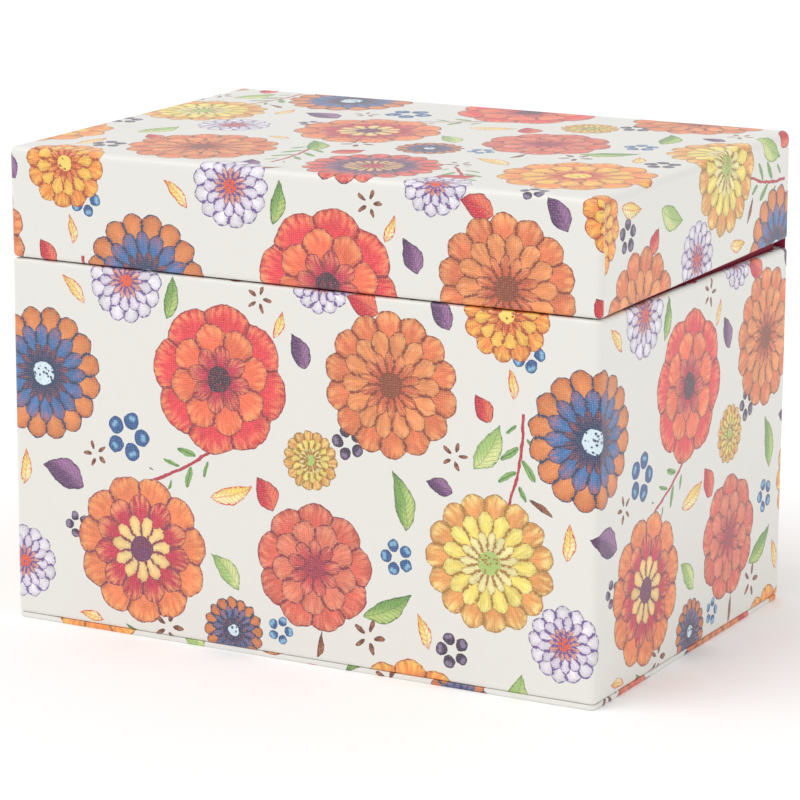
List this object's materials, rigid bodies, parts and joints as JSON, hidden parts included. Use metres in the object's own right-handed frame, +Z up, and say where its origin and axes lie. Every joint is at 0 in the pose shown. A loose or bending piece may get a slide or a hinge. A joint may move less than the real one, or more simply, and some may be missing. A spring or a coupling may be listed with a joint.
{
  "type": "index card box",
  "caption": "Rigid board box for index cards, covered in printed paper, with a flip-top lid hinged at the rear that closes over a raised inner collar.",
  "frame": {"origin": "middle of the footprint, on the surface that the box stands on", "axes": "+Z up, +X to the right and -Y out of the front, so the hinge runs along the rear at +Y"},
  "size_m": [0.171, 0.1179, 0.1295],
  "materials": {
    "printed_paper": "satin paper, printed all over and lightly embossed with a linen grain",
    "lining_paper": "matte crimson lining paper",
    "greyboard": "raw recycled greyboard",
    "stay_tape": "brown gummed kraft tape"
  },
  "bodies": {
    "base": {"base_plate_board": "greyboard", "base_plate_wrap": "printed_paper", "base_front_board": "greyboard", "base_back_board": "greyboard", "base_left_board": "greyboard", "base_right_board": "greyboard", "base_corner_stays": "stay_tape", "base_floor_board": "greyboard", "base_wrap": "printed_paper", "collar_front_board": "greyboard", "collar_back_board": "greyboard", "collar_left_board": "greyboard", "collar_right_board": "greyboard", "collar_wrap": "lining_paper", "floor_lining": "lining_paper", "outer_hinge_paper": "printed_paper", "inner_hinge_paper": "lining_paper"},
    "lid": {"lid_front_board": "greyboard", "lid_back_board": "greyboard", "lid_left_board": "greyboard", "lid_right_board": "greyboard", "lid_top_board": "greyboard", "lid_corner_stays": "stay_tape", "lid_wrap": "printed_paper", "lid_side_lining": "lining_paper", "lid_top_lining": "lining_paper"}
  },
  "joints": [
    {"name": "lid_hinge", "type": "hinge", "parent": "base", "child": "lid", "pos_m": [0, 0.05865, 0.099], "axis": [-1, 0, 0], "range_deg": [0, 110], "deforming": ["outer_hinge_paper", "inner_hinge_paper"]}
  ]
}
